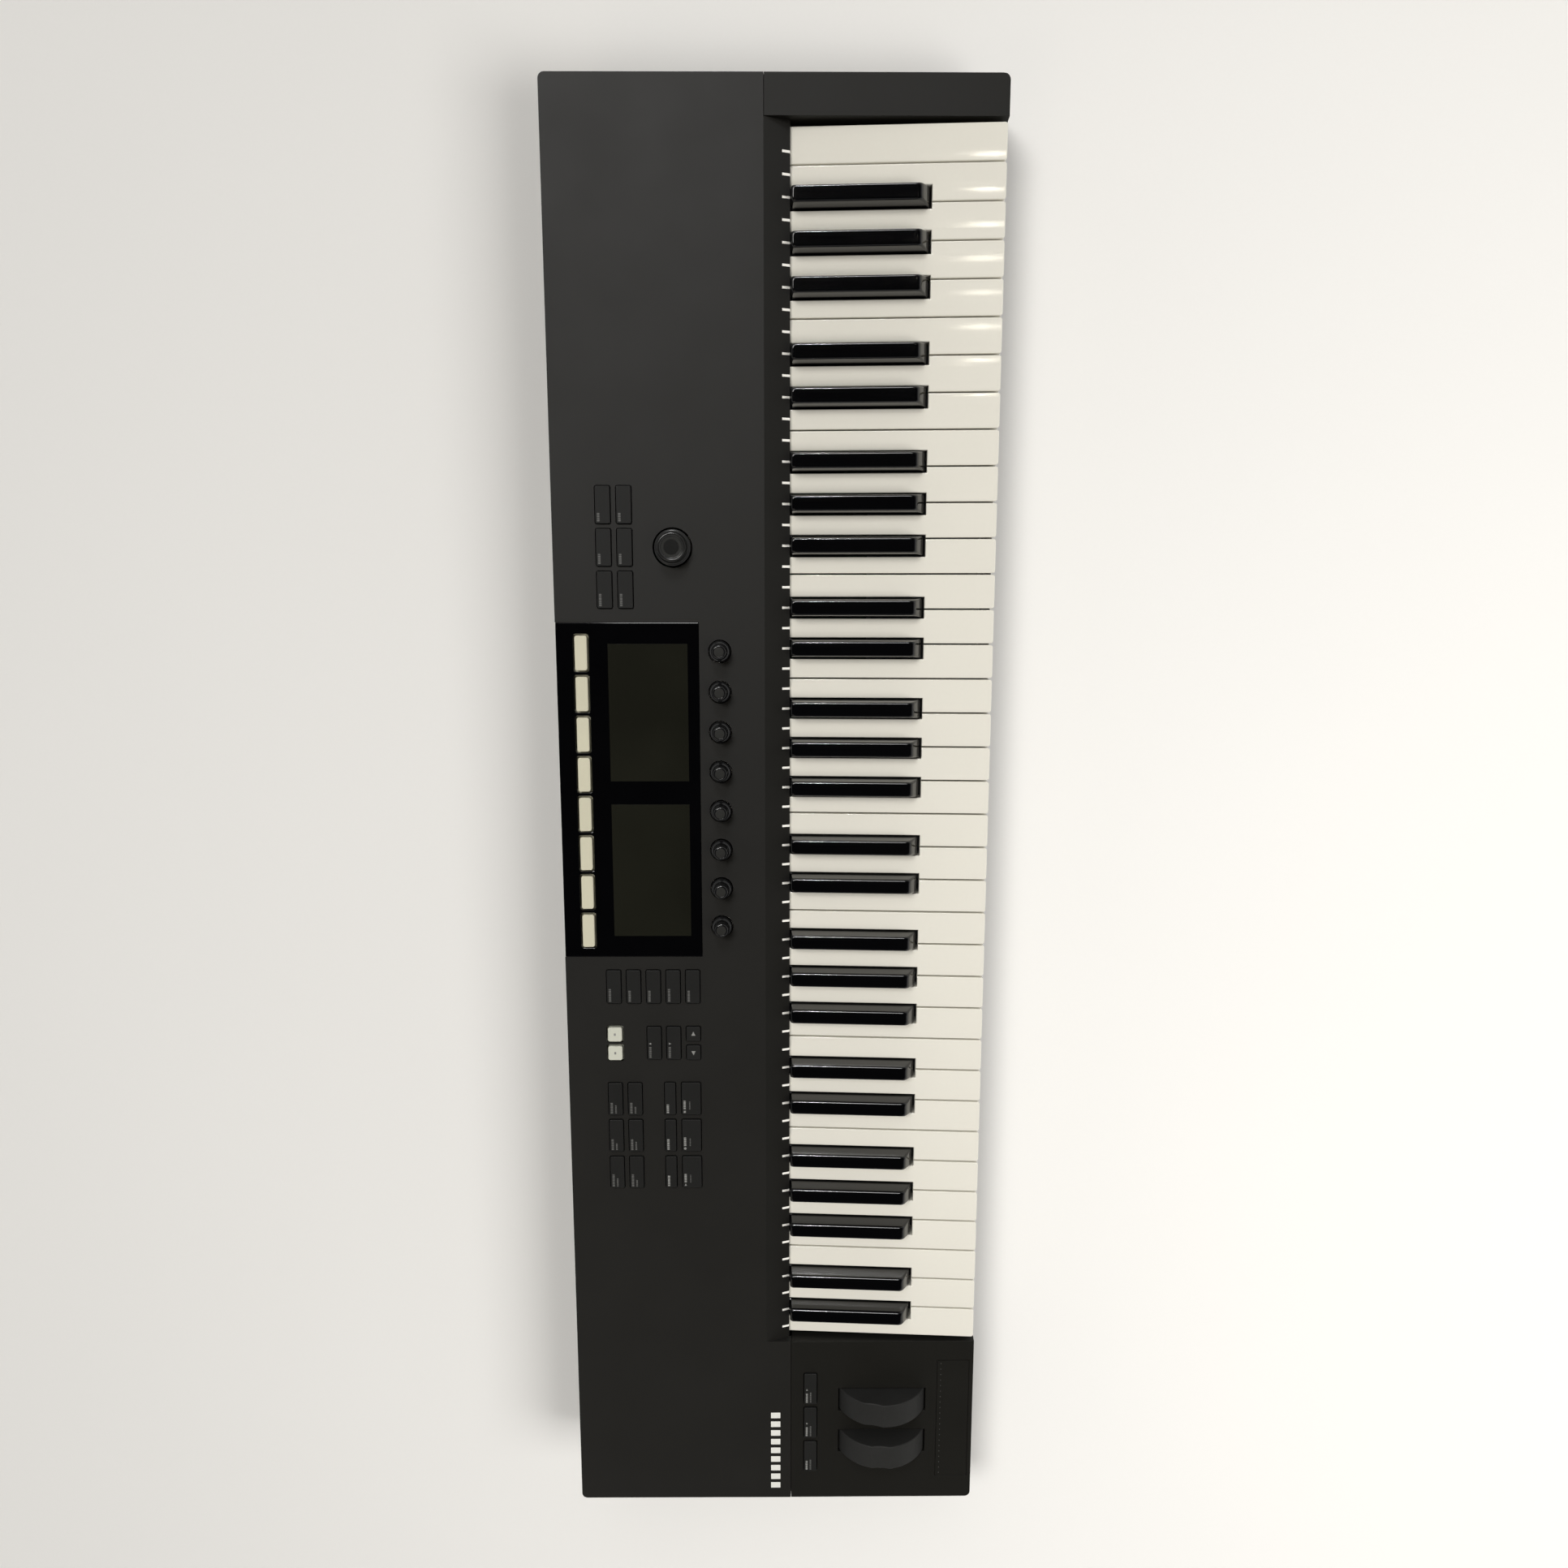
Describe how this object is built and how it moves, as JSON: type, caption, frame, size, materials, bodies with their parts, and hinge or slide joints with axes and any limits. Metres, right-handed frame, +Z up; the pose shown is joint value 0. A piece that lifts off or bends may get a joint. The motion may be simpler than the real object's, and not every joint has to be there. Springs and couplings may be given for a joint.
{
  "type": "controller keyboard",
  "caption": "Musical controller keyboard with a full-size piano keybed, two displays, knobs, push buttons, pitch and modulation wheels and a light strip over the keys.",
  "frame": {"origin": "middle of the footprint, on the surface the instrument stands on", "axes": "+X along the keys towards the treble end, +Y from the player to the rear, +Z up"},
  "size_m": [1.008, 0.297, 0.084],
  "materials": {
    "case_plastic": "fine texture, black",
    "panel_coating": "satin black",
    "wheel_plastic": "matt charcoal",
    "knob_plastic": "soft-touch black",
    "natural_key": "polished off-white",
    "sharp_key": "polished black",
    "glossy_window": "mirror gloss black",
    "screen": "dark display, switched off",
    "light_guide": "translucent white",
    "dark_silicone": "satin charcoal",
    "pale_silicone": "satin off-white",
    "foot_rubber": "matt black",
    "chassis_metal": "brushed",
    "bracket_steel": "plated",
    "circuit_board": "green solder mask"
  },
  "bodies": {
    "case": {"bottom_case": "case_plastic", "top_panel": "panel_coating", "wheel_panel": "case_plastic", "right_end_block": "case_plastic", "display_glass": "glossy_window", "screen_left": "screen", "screen_right": "screen", "light_guide": "light_guide", "touch_strip": "glossy_window", "keybed_chassis": "chassis_metal", "key_contact_board": "circuit_board", "main_board": "circuit_board", "rear_jack_board": "circuit_board", "wheel_bracket": "bracket_steel", "foot_front_left": "foot_rubber", "foot_front_right": "foot_rubber", "foot_rear_left": "foot_rubber", "foot_rear_right": "foot_rubber"},
    "pitch_wheel": {"pitch_wheel": "wheel_plastic"},
    "mod_wheel": {"mod_wheel": "wheel_plastic"},
    "knob_1": {"knob_1": "knob_plastic"},
    "knob_2": {"knob_2": "knob_plastic"},
    "knob_3": {"knob_3": "knob_plastic"},
    "knob_4": {"knob_4": "knob_plastic"},
    "knob_5": {"knob_5": "knob_plastic"},
    "knob_6": {"knob_6": "knob_plastic"},
    "knob_7": {"knob_7": "knob_plastic"},
    "knob_8": {"knob_8": "knob_plastic"},
    "encoder_gimbal": {"encoder_gimbal": "case_plastic"},
    "encoder_carrier": {"encoder_carrier": "case_plastic"},
    "encoder_stem": {"encoder_stem": "bracket_steel"},
    "encoder_cap": {"encoder_cap": "knob_plastic"},
    "browse_buttons": {"browse_buttons": "dark_silicone"},
    "edit_buttons": {"edit_buttons": "dark_silicone"},
    "loop_buttons": {"loop_buttons": "dark_silicone"},
    "play_button": {"play_button": "dark_silicone"},
    "record_button": {"record_button": "dark_silicone"},
    "stop_button": {"stop_button": "dark_silicone"},
    "mute_solo_buttons": {"mute_solo_buttons": "pale_silicone"},
    "preset_buttons": {"preset_buttons": "dark_silicone"},
    "mode_buttons": {"mode_buttons": "dark_silicone"},
    "octave_buttons": {"octave_buttons": "dark_silicone"},
    "soft_buttons": {"soft_buttons": "pale_silicone"},
    "keys_1_cegb": {"keys_1_cegb": "natural_key"},
    "keys_1_dfa": {"keys_1_dfa": "natural_key"},
    "keys_1_sharps": {"keys_1_sharps": "sharp_key"},
    "keys_2_cegb": {"keys_2_cegb": "natural_key"},
    "keys_2_dfa": {"keys_2_dfa": "natural_key"},
    "keys_2_sharps": {"keys_2_sharps": "sharp_key"},
    "keys_3_cegb": {"keys_3_cegb": "natural_key"},
    "keys_3_dfa": {"keys_3_dfa": "natural_key"},
    "keys_3_sharps": {"keys_3_sharps": "sharp_key"},
    "keys_4_cegb": {"keys_4_cegb": "natural_key"},
    "keys_4_dfa": {"keys_4_dfa": "natural_key"},
    "keys_4_sharps": {"keys_4_sharps": "sharp_key"},
    "keys_5_cegb": {"keys_5_cegb": "natural_key"},
    "keys_5_dfa": {"keys_5_dfa": "natural_key"},
    "keys_5_sharps": {"keys_5_sharps": "sharp_key"},
    "key_top_c": {"key_top_c": "natural_key"}
  },
  "joints": [
    {"name": "pitch_bend", "type": "hinge", "parent": "case", "child": "pitch_wheel", "pos_m": [-0.4558, -0.079, 0.0479], "axis": [1, 0, 0], "range_deg": [-40, 40], "stiffness_Nm_per_rad": 0.25},
    {"name": "modulation", "type": "hinge", "parent": "case", "child": "mod_wheel", "pos_m": [-0.4212, -0.079, 0.0479], "axis": [1, 0, 0], "range_deg": [-36, 54]},
    {"name": "knob_1_turn", "type": "hinge", "parent": "case", "child": "knob_1", "pos_m": [-0.0503, 0.0375, 0.07133], "axis": [0, -0.06, 0.9982], "continuous": true},
    {"name": "knob_2_turn", "type": "hinge", "parent": "case", "child": "knob_2", "pos_m": [-0.0228, 0.0375, 0.07133], "axis": [0, -0.06, 0.9982], "continuous": true},
    {"name": "knob_3_turn", "type": "hinge", "parent": "case", "child": "knob_3", "pos_m": [0.0047, 0.0375, 0.07133], "axis": [0, -0.06, 0.9982], "continuous": true},
    {"name": "knob_4_turn", "type": "hinge", "parent": "case", "child": "knob_4", "pos_m": [0.0322, 0.0375, 0.07133], "axis": [0, -0.06, 0.9982], "continuous": true},
    {"name": "knob_5_turn", "type": "hinge", "parent": "case", "child": "knob_5", "pos_m": [0.0597, 0.0375, 0.07133], "axis": [0, -0.06, 0.9982], "continuous": true},
    {"name": "knob_6_turn", "type": "hinge", "parent": "case", "child": "knob_6", "pos_m": [0.0872, 0.0375, 0.07133], "axis": [0, -0.06, 0.9982], "continuous": true},
    {"name": "knob_7_turn", "type": "hinge", "parent": "case", "child": "knob_7", "pos_m": [0.1147, 0.0375, 0.07133], "axis": [0, -0.06, 0.9982], "continuous": true},
    {"name": "knob_8_turn", "type": "hinge", "parent": "case", "child": "knob_8", "pos_m": [0.1422, 0.0375, 0.07133], "axis": [0, -0.06, 0.9982], "continuous": true},
    {"name": "encoder_nudge_fore_aft", "type": "hinge", "parent": "case", "child": "encoder_gimbal", "pos_m": [0.2112, 0.06906, 0.06221], "axis": [1, 0, 0], "range_deg": [-3, 3], "stiffness_Nm_per_rad": 0.1},
    {"name": "encoder_nudge_sideways", "type": "hinge", "parent": "encoder_gimbal", "child": "encoder_carrier", "pos_m": [0.2112, 0.06906, 0.06221], "axis": [0, 0.9982, 0.06], "range_deg": [-3, 3], "stiffness_Nm_per_rad": 0.1},
    {"name": "encoder_push", "type": "slide", "parent": "encoder_carrier", "child": "encoder_stem", "axis": [0, 0.06, -0.9982], "range_m": [0, 0.0008], "stiffness_N_per_m": 300, "springref_m": -0.002},
    {"name": "encoder_turn", "type": "hinge", "parent": "encoder_stem", "child": "encoder_cap", "pos_m": [0.2112, 0.0684, 0.07319], "axis": [0, -0.06, 0.9982], "continuous": true},
    {"name": "browse_press", "type": "slide", "parent": "case", "child": "browse_buttons", "axis": [0, 0.06, -0.9982], "range_m": [0, 0.0009], "stiffness_N_per_m": 500, "springref_m": -0.001},
    {"name": "edit_press", "type": "slide", "parent": "case", "child": "edit_buttons", "axis": [0, 0.06, -0.9982], "range_m": [0, 0.0009], "stiffness_N_per_m": 500, "springref_m": -0.001},
    {"name": "loop_press", "type": "slide", "parent": "case", "child": "loop_buttons", "axis": [0, 0.06, -0.9982], "range_m": [0, 0.0009], "stiffness_N_per_m": 500, "springref_m": -0.001},
    {"name": "play_press", "type": "slide", "parent": "case", "child": "play_button", "axis": [0, 0.06, -0.9982], "range_m": [0, 0.0009], "stiffness_N_per_m": 500, "springref_m": -0.001},
    {"name": "record_press", "type": "slide", "parent": "case", "child": "record_button", "axis": [0, 0.06, -0.9982], "range_m": [0, 0.0009], "stiffness_N_per_m": 500, "springref_m": -0.001},
    {"name": "stop_press", "type": "slide", "parent": "case", "child": "stop_button", "axis": [0, 0.06, -0.9982], "range_m": [0, 0.0009], "stiffness_N_per_m": 500, "springref_m": -0.001},
    {"name": "mute_solo_press", "type": "slide", "parent": "case", "child": "mute_solo_buttons", "axis": [0, 0.06, -0.9982], "range_m": [0, 0.0009], "stiffness_N_per_m": 500, "springref_m": -0.001},
    {"name": "preset_press", "type": "slide", "parent": "case", "child": "preset_buttons", "axis": [0, 0.06, -0.9982], "range_m": [0, 0.0009], "stiffness_N_per_m": 500, "springref_m": -0.001},
    {"name": "mode_press", "type": "slide", "parent": "case", "child": "mode_buttons", "axis": [0, 0.06, -0.9982], "range_m": [0, 0.0009], "stiffness_N_per_m": 500, "springref_m": -0.001},
    {"name": "octave_press", "type": "slide", "parent": "case", "child": "octave_buttons", "axis": [0, 0.0642, -0.9979], "range_m": [0, 0.0009], "stiffness_N_per_m": 500, "springref_m": -0.001},
    {"name": "soft_press", "type": "slide", "parent": "case", "child": "soft_buttons", "axis": [0, 0.06, -0.9982], "range_m": [0, 0.0009], "stiffness_N_per_m": 500, "springref_m": -0.001},
    {"name": "keys_1_cegb_press", "type": "hinge", "parent": "case", "child": "keys_1_cegb", "pos_m": [-0.28775, 0.055, 0.051], "axis": [1, 0, 0], "range_deg": [0, 2.9], "stiffness_Nm_per_rad": 2, "springref_deg": -14.32},
    {"name": "keys_1_dfa_press", "type": "hinge", "parent": "case", "child": "keys_1_dfa", "pos_m": [-0.28775, 0.055, 0.051], "axis": [1, 0, 0], "range_deg": [0, 2.9], "stiffness_Nm_per_rad": 1.5, "springref_deg": -14.32},
    {"name": "keys_1_sharps_press", "type": "hinge", "parent": "case", "child": "keys_1_sharps", "pos_m": [-0.28775, 0.055, 0.051], "axis": [1, 0, 0], "range_deg": [0, 2.9], "stiffness_Nm_per_rad": 1.5, "springref_deg": -14.32},
    {"name": "keys_2_cegb_press", "type": "hinge", "parent": "case", "child": "keys_2_cegb", "pos_m": [-0.12325, 0.055, 0.051], "axis": [1, 0, 0], "range_deg": [0, 2.9], "stiffness_Nm_per_rad": 2, "springref_deg": -14.32},
    {"name": "keys_2_dfa_press", "type": "hinge", "parent": "case", "child": "keys_2_dfa", "pos_m": [-0.12325, 0.055, 0.051], "axis": [1, 0, 0], "range_deg": [0, 2.9], "stiffness_Nm_per_rad": 1.5, "springref_deg": -14.32},
    {"name": "keys_2_sharps_press", "type": "hinge", "parent": "case", "child": "keys_2_sharps", "pos_m": [-0.12325, 0.055, 0.051], "axis": [1, 0, 0], "range_deg": [0, 2.9], "stiffness_Nm_per_rad": 1.5, "springref_deg": -14.32},
    {"name": "keys_3_cegb_press", "type": "hinge", "parent": "case", "child": "keys_3_cegb", "pos_m": [0.04125, 0.055, 0.051], "axis": [1, 0, 0], "range_deg": [0, 2.9], "stiffness_Nm_per_rad": 2, "springref_deg": -14.32},
    {"name": "keys_3_dfa_press", "type": "hinge", "parent": "case", "child": "keys_3_dfa", "pos_m": [0.04125, 0.055, 0.051], "axis": [1, 0, 0], "range_deg": [0, 2.9], "stiffness_Nm_per_rad": 1.5, "springref_deg": -14.32},
    {"name": "keys_3_sharps_press", "type": "hinge", "parent": "case", "child": "keys_3_sharps", "pos_m": [0.04125, 0.055, 0.051], "axis": [1, 0, 0], "range_deg": [0, 2.9], "stiffness_Nm_per_rad": 1.5, "springref_deg": -14.32},
    {"name": "keys_4_cegb_press", "type": "hinge", "parent": "case", "child": "keys_4_cegb", "pos_m": [0.20575, 0.055, 0.051], "axis": [1, 0, 0], "range_deg": [0, 2.9], "stiffness_Nm_per_rad": 2, "springref_deg": -14.32},
    {"name": "keys_4_dfa_press", "type": "hinge", "parent": "case", "child": "keys_4_dfa", "pos_m": [0.20575, 0.055, 0.051], "axis": [1, 0, 0], "range_deg": [0, 2.9], "stiffness_Nm_per_rad": 1.5, "springref_deg": -14.32},
    {"name": "keys_4_sharps_press", "type": "hinge", "parent": "case", "child": "keys_4_sharps", "pos_m": [0.20575, 0.055, 0.051], "axis": [1, 0, 0], "range_deg": [0, 2.9], "stiffness_Nm_per_rad": 1.5, "springref_deg": -14.32},
    {"name": "keys_5_cegb_press", "type": "hinge", "parent": "case", "child": "keys_5_cegb", "pos_m": [0.37025, 0.055, 0.051], "axis": [1, 0, 0], "range_deg": [0, 2.9], "stiffness_Nm_per_rad": 2, "springref_deg": -14.32},
    {"name": "keys_5_dfa_press", "type": "hinge", "parent": "case", "child": "keys_5_dfa", "pos_m": [0.37025, 0.055, 0.051], "axis": [1, 0, 0], "range_deg": [0, 2.9], "stiffness_Nm_per_rad": 1.5, "springref_deg": -14.32},
    {"name": "keys_5_sharps_press", "type": "hinge", "parent": "case", "child": "keys_5_sharps", "pos_m": [0.37025, 0.055, 0.051], "axis": [1, 0, 0], "range_deg": [0, 2.9], "stiffness_Nm_per_rad": 1.5, "springref_deg": -14.32},
    {"name": "key_top_c_press", "type": "hinge", "parent": "case", "child": "key_top_c", "pos_m": [0.46425, 0.055, 0.051], "axis": [1, 0, 0], "range_deg": [0, 2.9], "stiffness_Nm_per_rad": 0.5, "springref_deg": -14.32}
  ]
}
